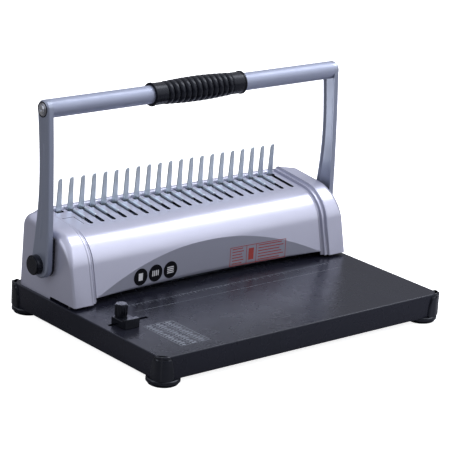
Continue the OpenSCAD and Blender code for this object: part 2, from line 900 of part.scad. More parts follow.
module tube_plugs() {
    color([0.3, 0.3, 0.32]) both_sides() difference() {
        rod_x(arm_in_x - 16, 16, tube_d - 3, y = tube_y, z = tube_z);
        rod_x(arm_in_x - 14, 20, 5, y = tube_y, z = tube_z);
    }
}

module handle_screws() {
    color([0.75, 0.76, 0.78]) both_sides() {
        rod_x(arm_in_x - 14, 14 + arm_depth, 5, y = tube_y, z = tube_z);
        difference() {
            union() {
                rod_x(arm_out_x, 1.2, 11, y = tube_y, z = tube_z);
                rod_x(arm_out_x + 1.2, 1, 8.5, y = tube_y, z = tube_z);
            }
            translate([arm_out_x + 1, tube_y, tube_z]) rotate([0, 90, 0])
                cylinder(d = 4, h = 3, $fn = 6);
        }
    }
}

// Half outline of the grip: radius over length, with moulded rings
module grip_outline() {
    rings = 12;
    collar = 17;
    ringed = grip_len - 2 * collar;
    ring_w = ringed / rings;
    difference() {
        union() {
            translate([-grip_len / 2, 0]) square([grip_len, 10.8]);
            for (s = [-1, 1]) {
                translate([s * (grip_len / 2 - collar / 2) - collar / 2, 0]) square([collar, 11.6]);
                translate([s * (grip_len / 2 - 1) - 1, 0]) square([2, 12.4]);
            }
            for (k = [0:rings - 1]) let (x = (k - (rings - 1) / 2) * ring_w)
                translate([x - ring_w * 0.4, 0])
                    square([ring_w * 0.8, 12 + 1.5 * cos(180 * x / ringed)]);
        }
        translate([-grip_len, -1]) square([2 * grip_len, tube_d / 2 + 1]);
    }
}

module grip() {
    color([0.05, 0.05, 0.05]) translate([0, tube_y, tube_z]) rotate([0, 90, 0]) rotate_extrude()
        rotate(90) grip_outline();
}

// ---------- edge guide ----------

guide_size = [18, 23];
guide_top = table_z + 7.5;

module edge_guide() {
    color([0.06, 0.06, 0.07]) translate([guide_at[0], guide_at[1], table_z + 0.05]) difference() {
        union() {
            translate([-guide_size[0] / 2, 4 - guide_size[1], 0])
                cube([guide_size[0], guide_size[1], 7.45]);
            // raised rim at the front
            translate([-guide_size[0] / 2, 4 - guide_size[1], 0]) cube([guide_size[0], 5, 10]);
            // key that runs in the table slot
            translate([4, -guide_slot_w / 2 + 0.1, -1]) cube([4, guide_slot_w - 0.2, 2]);
            translate([-8, -guide_slot_w / 2 + 0.1, -1]) cube([4, guide_slot_w - 0.2, 2]);
        }
        translate([0, 0, -5]) cylinder(d = 4.2, h = 20);
    }
}

module guide_screw() {
    color([0.6, 0.6, 0.62]) translate([guide_at[0], guide_at[1], 0]) {
        translate([0, 0, table_z - 6.5]) cylinder(d = 4, h = 22);
        translate([0, 0, table_z - 8.5]) cylinder(d = 7, h = 2, $fn = 6);
    }
}

// Square plate under the table that clamps the guide
module guide_nut() {
    color([0.6, 0.6, 0.62]) translate([guide_at[0], guide_at[1], table_z - 6.5]) difference() {
        translate([-6, -5, 0]) cube([12, 10, 4.6]);
        translate([0, 0, -1]) cylinder(d = 4, h = 10);
    }
}

module guide_knob() {
    ribs = 20;
    color([0.06, 0.06, 0.07]) translate([guide_at[0], guide_at[1], guide_top + 0.1]) difference() {
        union() {
            cylinder(d = 12, h = 12);
            cylinder(d = 11, h = 13);
            for (k = [0:ribs - 1]) rotate(360 * k / ribs) translate([6, 0, 1])
                cylinder(d = 0.9, h = 10.5, $fn = 8);
        }
        translate([0, 0, -1]) cylinder(d = 4 + 2 * fit, h = 10);
    }
}

// ---------- all nodes ----------

base_plate();
bottom_cover();
corner_posts();
rubber_feet();
foot_screws();
chip_tray();
tray_rails();
end_cap_left();
end_cap_right();
cap_screws();
centre_cover();
rear_cover();
cover_screws();
side_frame_left();
side_frame_right();
frame_bolts();
shaft_bushes();
lower_die();
die_screws();
throat_spacer();
punch_guide();
guide_bolts();
finger_plate();
finger_bolts();
punches();
press_bar();
punch_retainer();
return_springs();
drive_shaft();
drive_cranks();
crank_pins();
drive_dogs();
pivot_caps();
hook_plate();
hook_carriage();
hook_screws();
arm_left();
arm_right();
arm_pads();
arm_hubs();
opening_levers();
lever_pins();
handle_tube();
tube_plugs();
handle_screws();
grip();
edge_guide();
guide_screw();
guide_nut();
guide_knob();
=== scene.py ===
"""Looks of a manual comb binding machine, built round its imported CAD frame.

Lengths are in metres. X runs along the machine, Y from front to back, Z up.
"""

import json
import math

import bmesh
import bpy
from mathutils import Matrix, Vector

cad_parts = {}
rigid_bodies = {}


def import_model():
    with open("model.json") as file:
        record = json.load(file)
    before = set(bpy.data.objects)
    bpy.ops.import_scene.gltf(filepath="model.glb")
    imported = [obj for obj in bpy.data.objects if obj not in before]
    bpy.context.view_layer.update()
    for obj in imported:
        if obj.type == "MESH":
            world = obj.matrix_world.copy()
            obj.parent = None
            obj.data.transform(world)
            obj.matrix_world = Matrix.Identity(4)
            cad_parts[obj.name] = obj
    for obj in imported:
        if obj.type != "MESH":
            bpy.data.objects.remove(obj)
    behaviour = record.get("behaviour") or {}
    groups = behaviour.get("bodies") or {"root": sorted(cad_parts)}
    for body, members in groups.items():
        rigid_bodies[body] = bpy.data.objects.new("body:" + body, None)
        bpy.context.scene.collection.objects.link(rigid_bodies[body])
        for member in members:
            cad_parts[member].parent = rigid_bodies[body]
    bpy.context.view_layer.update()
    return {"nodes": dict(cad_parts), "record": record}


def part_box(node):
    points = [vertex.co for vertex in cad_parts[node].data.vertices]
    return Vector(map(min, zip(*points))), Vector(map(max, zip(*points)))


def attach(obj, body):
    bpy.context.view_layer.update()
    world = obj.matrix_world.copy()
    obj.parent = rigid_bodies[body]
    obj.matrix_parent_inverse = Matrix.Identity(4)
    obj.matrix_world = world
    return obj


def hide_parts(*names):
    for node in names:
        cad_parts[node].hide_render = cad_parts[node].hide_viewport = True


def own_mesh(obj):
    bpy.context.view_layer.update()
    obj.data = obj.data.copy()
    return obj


MM = 0.001

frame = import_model()

# ---------- places taken from the frame ----------

BASE_LO, BASE_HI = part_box("base_plate")
CAP_LO, CAP_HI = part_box("end_cap_right")
COVER_LO, COVER_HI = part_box("centre_cover")
FINGERS_REAR_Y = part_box("finger_plate")[1].y
ARM_LO, ARM_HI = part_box("arm_right")
TUBE_LO, TUBE_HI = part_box("handle_tube")
GRIP_LO, GRIP_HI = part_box("grip")
PIVOT_LO, PIVOT_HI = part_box("drive_shaft")
KNOB_LO, KNOB_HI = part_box("guide_knob")
TRAY_LO, TRAY_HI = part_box("chip_tray")

TABLE_Z = BASE_HI.z
PIVOT = (PIVOT_LO + PIVOT_HI) / 2
TUBE = (TUBE_LO + TUBE_HI) / 2
TUBE_R = (TUBE_HI.z - TUBE_LO.z) / 2
GUIDE_X = (KNOB_LO.x + KNOB_HI.x) / 2
GUIDE_Y = (KNOB_LO.y + KNOB_HI.y) / 2

# Binding pattern
PITCH = 14.2875 * MM
RING_COUNT = 21
RING_X = [(i - (RING_COUNT - 1) / 2) * PITCH for i in range(RING_COUNT)]

# Casing section: a leaning front, a round shoulder, a sloping top and a round rear edge
FRONT_LEAN = math.radians(12.5)
TOP_SLOPE = math.radians(6.5)
REAR_LEAN = math.radians(2.5)
SHOULDER_R = 42 * MM
REAR_R = 6 * MM
CAP_EDGE_R = 9 * MM
COVER_DROP = 5 * MM
THROAT_GAP = 3 * MM
SCOOP_DEPTH = 8 * MM
SCOOP_HALF = 150 * MM
STEP_Y = 62 * MM
RIDGE = (104 * MM, 110.5 * MM)
FRONT = (CAP_LO.y, TABLE_Z + THROAT_GAP)
REAR = (121 * MM, TABLE_Z)
CAP_INNER_X = 154.3 * MM
LIP_Z = 90 * MM
CUT_RISE = 30 * MM


# ---------- materials ----------

COOL_TINT = (0.84, 0.88, 1)


class Shader:
    """A principled material with short calls for its node links."""

    def __init__(self, name, colour, metallic=0.0, roughness=0.5, coat=0.0, specular=0.5):
        self.material = bpy.data.materials.new(name)
        self.material.use_nodes = True
        self.tree = self.material.node_tree
        self.bsdf = self.tree.nodes["Principled BSDF"]
        self.bsdf.inputs["Base Color"].default_value = (*colour, 1)
        self.bsdf.inputs["Metallic"].default_value = metallic
        self.bsdf.inputs["Roughness"].default_value = roughness
        self.bsdf.inputs["Coat Weight"].default_value = coat
        self.bsdf.inputs["Coat Roughness"].default_value = 0.12
        self.bsdf.inputs["Specular IOR Level"].default_value = specular
        self.bsdf.inputs["Specular Tint"].default_value = (*COOL_TINT, 1)
        self.material.diffuse_color = (*colour, 1)
        self.colour = colour

    def node(self, kind, **inputs):
        made = self.tree.nodes.new(kind)
        for key, value in inputs.items():
            made.inputs[key.replace("_", " ")].default_value = value
        return made

    def link(self, source, target):
        self.tree.links.new(source, target)

    def noise(self, grain, stretch=(1, 1, 1), detail=3.0):
        """Noise whose spots are about grain metres wide, stretched along an axis."""
        place = self.node("ShaderNodeTexCoord")
        mapping = self.node("ShaderNodeMapping")
        mapping.inputs["Scale"].default_value = stretch
        texture = self.node("ShaderNodeTexNoise", Scale=1 / grain, Detail=detail)
        self.link(place.outputs["Object"], mapping.inputs["Vector"])
        self.link(mapping.outputs["Vector"], texture.inputs["Vector"])
        return texture.outputs["Fac"]

    def spread(self, value, low, high):
        """Maps noise round one half onto low to high."""
        ramp = self.node("ShaderNodeMapRange")
        ramp.inputs["From Min"].default_value = 0.3
        ramp.inputs["From Max"].default_value = 0.7
        ramp.inputs["To Min"].default_value = low
        ramp.inputs["To Max"].default_value = high
        self.link(value, ramp.inputs["Value"])
        return ramp.outputs["Result"]

    def vary_roughness(self, value, low, high):
        self.link(self.spread(value, low, high), self.bsdf.inputs["Roughness"])

    def vary_colour(self, value, other):
        mix = self.tree.nodes.new("ShaderNodeMix")
        mix.data_type = "RGBA"
        mix.inputs["A"].default_value = (*self.colour, 1)
        mix.inputs["B"].default_value = (*other, 1)
        self.link(self.spread(value, 0, 1), mix.inputs["Factor"])
        self.link(mix.outputs["Result"], self.bsdf.inputs["Base Color"])

    def bump(self, value, height, strength=1.0):
        bump = self.node("ShaderNodeBump", Strength=strength, Distance=height)
        self.link(value, bump.inputs["Height"])
        self.link(bump.outputs["Normal"], self.bsdf.inputs["Normal"])


def shade(colour, factor):
    return tuple(channel * factor for channel in colour)


def silver_paint(name, colour, roughness=0.34):
    """Metallic silver lacquer on moulded plastic: fine flakes under a thin clear coat."""
    s = Shader(name, colour, metallic=0.55, roughness=roughness, coat=0.25)
    flakes = s.noise(0.25 * MM, detail=1.0)
    s.vary_colour(flakes, shade(colour, 0.93))
    s.vary_roughness(s.noise(18 * MM), roughness - 0.02, roughness + 0.03)
    s.bump(s.noise(0.5 * MM, detail=2.0), 0.01 * MM, 0.25)
    return s.material


def arm_paint():
    """Satin grey-blue lacquer on pressed steel."""
    colour = (0.33, 0.36, 0.45)
    s = Shader("arm_paint", colour, metallic=0.6, roughness=0.36, coat=0.2)
    s.vary_colour(s.noise(0.3 * MM, detail=1.0), shade(colour, 0.93))
    s.vary_roughness(s.noise(14 * MM), 0.33, 0.4)
    s.bump(s.noise(0.8 * MM), 0.02 * MM, 0.3)
    return s.material


def black_sheet():
    """Fine textured powder coat on the steel base."""
    colour = (0.009, 0.0095, 0.016)
    s = Shader("black_sheet", colour, roughness=0.27, specular=0.3)
    s.vary_colour(s.noise(30 * MM), shade(colour, 1.15))
    s.vary_roughness(s.noise(25 * MM), 0.25, 0.3)
    s.bump(s.noise(0.7 * MM, detail=2.0), 0.005 * MM, 0.12)
    return s.material


def black_plastic(name="black_plastic", roughness=0.28, specular=0.32):
    """Moulded black plastic with a faint grain."""
    colour = (0.0045, 0.005, 0.0075)
    s = Shader(name, colour, roughness=roughness, specular=specular)
    s.vary_colour(s.noise(6 * MM), shade(colour, 1.5))
    s.vary_roughness(s.noise(4 * MM), roughness - 0.04, roughness + 0.06)
    s.bump(s.noise(0.6 * MM), 0.01 * MM, 0.12)
    return s.material


def soft_rubber(name, roughness):
    """Moulded rubber: dark, soft sheen, fine pores."""
    colour = (0.003, 0.0034, 0.006)
    s = Shader(name, colour, roughness=roughness, specular=0.26)
    s.vary_colour(s.noise(3 * MM), shade(colour, 1.6))
    s.vary_roughness(s.noise(2 * MM), roughness - 0.05, roughness + 0.08)
    s.bump(s.noise(0.4 * MM), 0.04 * MM, 0.4)
    return s.material


def brushed_metal(name, colour, roughness, stretch, grain=0.6 * MM):
    """Steel with fine drawn lines along one axis and faint stains."""
    s = Shader(name, colour, metallic=1.0, roughness=roughness)
    lines = s.noise(grain, stretch=stretch, detail=4.0)
    s.vary_roughness(lines, roughness - 0.06, roughness + 0.09)
    s.vary_colour(s.noise(9 * MM), shade(colour, 0.86))
    s.bump(lines, 0.01 * MM, 0.3)
    return s.material


def printed(name, colour, roughness=0.45, specular=0.3):
    """Screen print: thin ink with slightly uneven cover."""
    s = Shader(name, colour, roughness=roughness, specular=specular)
    s.vary_colour(s.noise(0.8 * MM), shade(colour, 0.85))
    s.vary_roughness(s.noise(2 * MM), roughness - 0.05, roughness + 0.08)
    return s.material


ALONG_X = (0.03, 1, 1)
ALONG_Z = (1, 1, 0.03)

SILVER = (0.56, 0.565, 0.68)
MAT = {
    "silver_plastic": silver_paint("silver_plastic", SILVER),
    # Darker copy of the casing silver for the hollow below the arch: painted shade on the hollow.
    "silver_scoop_painted_shade": silver_paint("silver_scoop_painted_shade", (0.43, 0.44, 0.53), 0.42),
    "black_sheet": black_sheet(),
    "black_plastic": black_plastic(),
    "glossy_black": black_plastic("glossy_black", 0.13, 0.42),
    "foot_rubber": soft_rubber("foot_rubber", 0.7),
    "grip_rubber": soft_rubber("grip_rubber", 0.28),
    "zinc_steel": brushed_metal("zinc_steel", (0.72, 0.80, 0.86), 0.34, ALONG_Z),
    "frame_steel": brushed_metal("frame_steel", (0.55, 0.56, 0.58), 0.38, ALONG_X),
    "tool_steel": brushed_metal("tool_steel", (0.42, 0.43, 0.45), 0.32, ALONG_X),
    "arm_paint": arm_paint(),
    "fastener": brushed_metal("fastener", (0.58, 0.58, 0.6), 0.3, (1, 1, 1)),
    "bearing_brass": brushed_metal("bearing_brass", (0.65, 0.42, 0.16), 0.34, (1, 1, 1)),
    "bright_steel": brushed_metal("bright_steel", (0.74, 0.75, 0.77), 0.14, ALONG_X),
    "tube_paint": silver_paint("tube_paint", (0.36, 0.39, 0.50), 0.52),
    "print_grey": printed("print_grey", (0.27, 0.29, 0.33)),
    "print_white": printed("print_white", (0.80, 0.80, 0.82)),
    "print_black": printed("print_black", (0.006, 0.006, 0.008), 0.5, 0.08),
    "print_red": printed("print_red", (0.45, 0.07, 0.06)),
}


# ---------- mesh helpers ----------

def finish_mesh(name, mesh_data, body, slot, material=None, smooth_angle=35):
    """Turns a bmesh into a piece that rides on a body."""
    mesh = bpy.data.meshes.new(name)
    bmesh.ops.recalc_face_normals(mesh_data, faces=mesh_data.faces)
    mesh_data.to_mesh(mesh)
    mesh_data.free()
    for face in mesh.polygons:
        face.use_smooth = True
    mesh.set_sharp_from_angle(angle=math.radians(smooth_angle))
    piece = bpy.data.objects.new(name, mesh)
    bpy.context.scene.collection.objects.link(piece)
    mesh.materials.append(MAT[material or slot])
    piece["even_normals"] = True
    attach(piece, body)
    return piece


def add_bevel(piece, width, segments=3, angle=30):
    bevel = piece.modifiers.new("edge_rounding", "BEVEL")
    bevel.width = width
    bevel.segments = segments
    bevel.limit_method = "ANGLE"
    bevel.angle_limit = math.radians(angle)
    bevel.harden_normals = True
    return bevel


def loft(rings, close_ring=True, first_face=False, last_face=False):
    """Skin through rings with the same number of points, each ring a list of (x, y, z)."""
    skin = bmesh.new()
    rows = [[skin.verts.new(point) for point in ring] for ring in rings]
    count = len(rings[0])
    last = count if close_ring else count - 1
    for row, following in zip(rows, rows[1:]):
        for k in range(last):
            n = (k + 1) % count
            skin.faces.new((row[k], row[n], following[n], following[k]))
    if first_face:
        skin.faces.new(rows[0])
    if last_face:
        skin.faces.new(rows[-1])
    return skin


def lathe(profile, centre, axis, steps=64, ends=True):
    """Skin of revolution, closed at its ends. profile holds (distance along the axis, radius)."""
    turn = Vector((0, 0, 1)).rotation_difference(Vector(axis)).to_matrix()
    rings = []
    for along, radius in profile:
        ring = []
        for k in range(steps):
            angle = 2 * math.pi * k / steps
            point = turn @ Vector((radius * math.cos(angle), radius * math.sin(angle), along))
            ring.append(tuple(Vector(centre) + point))
        rings.append(ring)
    return loft(rings, first_face=ends, last_face=ends)


def rounded_rect(lo, hi, radius, inset=0.0, steps=10):
    """Plan outline of a rectangle with round corners, set in by inset."""
    r = max(radius - inset, 0.2 * MM)
    x0, y0, x1, y1 = lo[0] + inset, lo[1] + inset, hi[0] - inset, hi[1] - inset
    outline = []
    for cx, cy, start in ((x1 - r, y1 - r, 0), (x0 + r, y1 - r, 90),
                          (x0 + r, y0 + r, 180), (x1 - r, y0 + r, 270)):
        for k in range(steps + 1):
            angle = math.radians(start + 90 * k / steps)
            point = (cx + r * math.cos(angle), cy + r * math.sin(angle))
            if not outline or math.dist(point, outline[-1]) > 0.001 * MM:
                outline.append(point)
    if math.dist(outline[0], outline[-1]) < 0.001 * MM:
        outline.pop()
    return outline


def fillet(radius, steps=6):
    """(inset, height below the top) pairs of a rounded edge, from the wall to the top face."""
    pairs = []
    for k in range(steps + 1):
        angle = math.pi / 2 * k / steps
        pairs.append((radius * (1 - math.cos(angle)), radius * (1 - math.sin(angle))))
    return pairs


def cut(piece, *cutters):
    """Cuts shapes out of a piece with hidden cutter objects."""
    for cutter in cutters:
        boolean = piece.modifiers.new("opening", "BOOLEAN")
        boolean.operation = "DIFFERENCE"
        boolean.solver = "EXACT"
        boolean.material_mode = "TRANSFER"
        boolean.object = cutter


def cutter_object(name, mesh_data, material="black_plastic"):
    """Hidden shape for a cut. The cut faces take its material."""
    mesh = bpy.data.meshes.new(name)
    mesh.materials.append(MAT[material])
    bmesh.ops.recalc_face_normals(mesh_data, faces=mesh_data.faces)
    mesh_data.to_mesh(mesh)
    mesh_data.free()
    cutter = bpy.data.objects.new(name, mesh)
    bpy.context.scene.collection.objects.link(cutter)
    cutter.hide_render = True
    cutter.hide_viewport = True
    return cutter


def add_prism(mesh_data, outline, z0, z1):
    """Upright prism over a plan outline."""
    low = [mesh_data.verts.new((x, y, z0)) for x, y in outline]
    high = [mesh_data.verts.new((x, y, z1)) for x, y in outline]
    mesh_data.faces.new(low[::-1])
    mesh_data.faces.new(high)
    for k in range(len(outline)):
        n = (k + 1) % len(outline)
        mesh_data.faces.new((low[k], low[n], high[n], high[k]))


def add_box(mesh_data, lo, hi):
    centre = (Vector(lo) + Vector(hi)) / 2
    size = Vector(hi) - Vector(lo)
    matrix = Matrix.Translation(centre) @ Matrix.Diagonal((*size, 1))
    bmesh.ops.create_cube(mesh_data, size=1, matrix=matrix)


# ---------- casing section ----------

def line_normals():
    front = (math.cos(FRONT_LEAN), -math.sin(FRONT_LEAN))
    top = (math.sin(TOP_SLOPE), -math.cos(TOP_SLOPE))
    rear = (-math.cos(REAR_LEAN), -math.sin(REAR_LEAN))
    return front, top, rear


def arc_centre(normal_a, point_a, dist_a, normal_b, point_b, dist_b):
    """Point at given distances from two lines, on the side their normals point to."""
    ra = normal_a[0] * point_a[0] + normal_a[1] * point_a[1] + dist_a
    rb = normal_b[0] * point_b[0] + normal_b[1] * point_b[1] + dist_b
    det = normal_a[0] * normal_b[1] - normal_a[1] * normal_b[0]
    return ((ra * normal_b[1] - normal_a[1] * rb) / det,
            (normal_a[0] * rb - normal_b[0] * ra) / det)


def arc(centre, radius, normal_a, normal_b, steps):
    """Arc points from the side against normal_a to the side against normal_b."""
    a0 = math.atan2(-normal_a[1], -normal_a[0])
    a1 = math.atan2(-normal_b[1], -normal_b[0])
    sweep = (a0 - a1) % (2 * math.pi)
    angles = [a0 - sweep * k / steps for k in range(steps + 1)]
    return [(centre[0] + radius * math.cos(a), centre[1] + radius * math.sin(a))
            for a in angles]


def front_y(inset, z):
    return FRONT[0] + inset / math.cos(FRONT_LEAN) + (z - FRONT[1]) * math.tan(FRONT_LEAN)


def rear_y(inset, z):
    return REAR[0] - inset / math.cos(REAR_LEAN) - (z - REAR[1]) * math.tan(REAR_LEAN)


def casing_section(inset, rear_inset, z_front, z_rear, heel_r=REAR_R):
    """(y, z) points from the front foot over the top to the rear foot."""
    front, top, rear = line_normals()
    shoulder = arc_centre(front, FRONT, SHOULDER_R, top, RIDGE, SHOULDER_R)
    radius = max(heel_r - max(inset, rear_inset), 2 * MM)
    heel = arc_centre(top, RIDGE, inset + radius, rear, REAR, rear_inset + radius)
    return ([(front_y(inset, z_front), z_front)]
            + arc(shoulder, SHOULDER_R - inset, front, top, 28)
            + arc(heel, radius, top, rear, 12)
            + [(rear_y(rear_inset, z_rear), z_rear)])


# ---------- casing ----------

def cap_edge_radii(count):
    """Radius of a cap's outer edge at each section point: crisp at the foot, large on top."""
    foot_r = 2.2 * MM
    share = [min(1, k / (count * 0.55)) for k in range(count)]
    return [foot_r + (CAP_EDGE_R - foot_r) * math.sin(math.pi / 2 * u) for u in share]


def cap_rings():
    """Sections of an end cap from its inner edge out: low band, step, bead and round outer edge."""
    band = 4.6 * MM
    bead = 0.4 * MM
    step_x = CAP_INNER_X + band
    low = COVER_DROP * 0.5
    profile = [
        (CAP_INNER_X - 2.8 * MM, COVER_DROP + 0.2 * MM),
        (CAP_INNER_X, COVER_DROP + 0.2 * MM),
        (CAP_INNER_X, low + 0.2 * MM),
        (CAP_INNER_X + 0.3 * MM, low - bead),
        (CAP_INNER_X + 0.9 * MM, low - bead),
        (CAP_INNER_X + 1.4 * MM, low),
        (step_x - 0.2 * MM, low),
        (step_x, bead),
        (step_x + 0.3 * MM, -bead),
        (step_x + 1.0 * MM, -bead),
        (step_x + 1.6 * MM, 0),
    ]
    rear_share = 0.15
    rings = []
    for x, inset in profile:
        section = casing_section(max(inset, 0), max(inset, 0) * rear_share, FRONT[1], REAR[1])
        proud = casing_section(min(inset, 0), 0, FRONT[1], REAR[1])
        chosen = section if inset > 0 else proud
        rings.append([(x, y, z) for y, z in chosen])
    outer_heel_r = 15 * MM
    outer = casing_section(0, 0, FRONT[1], REAR[1], outer_heel_r)
    inner = casing_section(1 * MM, 1 * MM, FRONT[1], REAR[1], outer_heel_r)
    radii = cap_edge_radii(len(outer))
    for depth, drop in fillet(1.0, 8):
        ring = []
        for (y0, z0), (y1, z1), radius in zip(outer, inner, radii):
            share = depth * radius / MM
            ring.append((CAP_HI.x - drop * radius, y0 + (y1 - y0) * share, z0 + (z1 - z0) * share))
        rings.append(ring)
    return rings


def end_cap(name, side):
    """Silver end cap: a skin over sections, with its wall and the hole for the shaft."""
    rings = [[(x * side, y, z) for x, y, z in ring] for ring in cap_rings()]
    skin = loft(rings, close_ring=False)
    skin.verts.ensure_lookup_table()
    side_edge = skin.verts[-len(rings[0]):]
    step = [skin.verts.new((CAP_HI.x * side, STEP_Y, z)) for z in (REAR[1], FRONT[1])]
    skin.faces.new(side_edge + step)
    cap = finish_mesh(name, skin, "root", "silver_plastic", smooth_angle=28)
    wall = cap.modifiers.new("wall", "SOLIDIFY")
    wall.thickness = 1.8 * MM
    wall.offset = -1
    hole = lathe([(-20 * MM, 9.4 * MM), (20 * MM, 9.4 * MM)],
                 (CAP_HI.x * side, PIVOT.y, PIVOT.z), (1, 0, 0), 48)
    cut(cap, cutter_object(name + "_hub_hole", hole))
    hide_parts(name)
    return cap


def scoop_y(x):
    """Front face of the hollow: an upright cylinder with a large radius."""
    radius = (SCOOP_HALF ** 2 + SCOOP_DEPTH ** 2) / (2 * SCOOP_DEPTH)
    deepest = front_y(COVER_DROP, COVER_LO.z) + SCOOP_DEPTH
    return deepest - radius + math.sqrt(radius ** 2 - x ** 2)


def cover_columns():
    """X places of the cover's skin, closer together near the ends of the arch."""
    half = COVER_HI.x
    steps = 96
    return [half * math.sin(math.pi / 2 * (2 * k / steps - 1)) for k in range(steps + 1)]


def section_path(x, section):
    """Cover section behind the hollow at x, starting where the casing meets the hollow."""
    wall = max(scoop_y(x), front_y(COVER_DROP, COVER_LO.z + 2 * MM))
    for k, (before, after) in enumerate(zip(section, section[1:])):
        if after[0] >= wall:
            share = (wall - before[0]) / (after[0] - before[0])
            meet = (wall, before[1] + share * (after[1] - before[1]))
            return [meet] + section[k + 1:]
    return section


def even_points(path, count):
    """Points at even steps along a path."""
    lengths = [0.0]
    for a, b in zip(path, path[1:]):
        lengths.append(lengths[-1] + math.dist(a, b))
    points = []
    n = 0
    for k in range(count):
        goal = lengths[-1] * k / count
        while lengths[n + 1] < goal:
            n += 1
        share = (goal - lengths[n]) / (lengths[n + 1] - lengths[n])
        points.append(tuple(a + share * (b - a) for a, b in zip(path[n], path[n + 1])))
    return points + [path[-1]]


def centre_cover():
    """Silver cover: a grid that follows the hollow below the arch and the casing above it."""
    low_rows = 10
    top_rows = 64
    section = casing_section(COVER_DROP, 1 * MM, COVER_LO.z, LIP_Z)
    grid = bmesh.new()
    columns = []
    for x in cover_columns():
        path = section_path(x, section)
        column = []
        for k in range(low_rows):
            z = COVER_LO.z + (path[0][1] - COVER_LO.z) * k / low_rows
            column.append((x, max(scoop_y(x), front_y(COVER_DROP, z)), z))
        column += [(x, y, z) for y, z in even_points(path, top_rows)]
        columns.append([grid.verts.new(point) for point in column])
    for left, right in zip(columns, columns[1:]):
        inside = abs(left[0].co.x + right[0].co.x) / 2 < SCOOP_HALF
        for k in range(len(left) - 1):
            face = grid.faces.new((left[k], right[k], right[k + 1], left[k + 1]))
            # Faces in the hollow take the second, darker silver: painted shade on the hollow.
            face.material_index = 1 if inside and k < low_rows else 0
    cover = finish_mesh("centre_cover_skin", grid, "root", "silver_plastic", smooth_angle=60)
    cover.data.materials.append(MAT["silver_scoop_painted_shade"])
    mark_material_borders(cover.data)
    wall = cover.modifiers.new("wall", "SOLIDIFY")
    wall.thickness = 1.6 * MM
    wall.offset = -1
    cut(cover, slot_cutter(), window_cutter(), seam_cutter())
    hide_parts("centre_cover")
    rear_ridge()
    return cover


def rear_ridge():
    """Ridge behind the fingers: rises in a round slope to the level of the end caps."""
    front = FINGERS_REAR_Y + 2.3 * MM
    ramp = 4.5 * MM
    outer = [(y, z) for y, z in casing_section(0.2 * MM, 0.2 * MM, LIP_Z, LIP_Z)
             if y > front + ramp]
    low = RIDGE[1] - COVER_DROP + (front - RIDGE[0]) * math.tan(TOP_SLOPE)
    high = outer[0][1]
    foot = [(front, LIP_Z)]
    steps = 6
    for k in range(steps + 1):
        bend = math.pi / 2 * k / steps
        foot.append((front + ramp * (1 - math.cos(bend)), low + (high - low) * math.sin(bend)))
    outline = foot + outer
    half = COVER_HI.x
    rings = [[(x, y, z) for y, z in outline] for x in (-half, half)]
    ridge = finish_mesh("rear_ridge", loft(rings, first_face=True, last_face=True),
                        "root", "silver_plastic", smooth_angle=40)
    return ridge


def seam_cutter():
    """Fine L-shaped seam beside the first slot, left of the row."""
    wide = 0.7 * MM
    x0, x1 = -COVER_HI.x, RING_X[1] - 7 * MM
    y0, y1 = RIDGE[0] - 32 * MM, RIDGE[0] - 14 * MM
    seam = bmesh.new()
    outline = [(x0 - wide, y1), (x1 - wide, y1), (x1 - wide, y0), (x1, y0), (x1, y1 + wide),
               (x0 - wide, y1 + wide)]
    add_prism(seam, outline, LIP_Z, COVER_HI.z + wide)
    return cutter_object("seam_cutter", seam)


def mark_material_borders(mesh):
    """Makes edges between two materials sharp."""
    sides = {}
    for face in mesh.polygons:
        for key in face.edge_keys:
            sides.setdefault(key, set()).add(face.material_index)
    sharp = mesh.attributes.get("sharp_edge") or mesh.attributes.new("sharp_edge", "BOOLEAN", "EDGE")
    for edge in mesh.edges:
        if len(sides.get(edge.key, ())) > 1:
            sharp.data[edge.index].value = True


def slot_cutter():
    """Twenty slots with round front ends, one beside each finger but the first. Their cut walls take
    the cutter's black plastic: painted shade for the dark inside of the slots.
    """
    slot_w = 5 * MM
    slot_dx = 1.1 * MM
    front_end = RIDGE[0] - 35 * MM
    prisms = bmesh.new()
    for x in RING_X[1:]:
        outline = rounded_rect((x + slot_dx - slot_w / 2, front_end),
                               (x + slot_dx + slot_w / 2, RIDGE[0] + 1 * MM), slot_w / 2, 0, 6)
        add_prism(prisms, outline, LIP_Z, LIP_Z + CUT_RISE)
    return cutter_object("slot_cutter", prisms)


def window_cutter():
    """A window behind each slot, where the finger stands. Its cut walls take the cutter's black
    plastic: painted shade for the dark inside of the windows.
    """
    finger_half = 3.25 * MM
    left_play = 1 * MM
    right_play = 2 * MM
    front_y, rear_y = FINGERS_REAR_Y - 4.5 * MM, FINGERS_REAR_Y + 1.5 * MM
    boxes = bmesh.new()
    for x in RING_X:
        add_box(boxes, (x - finger_half - left_play, front_y, LIP_Z),
                (x + finger_half + right_play, rear_y, LIP_Z + CUT_RISE))
    return cutter_object("window_cutter", boxes)


# ---------- base ----------

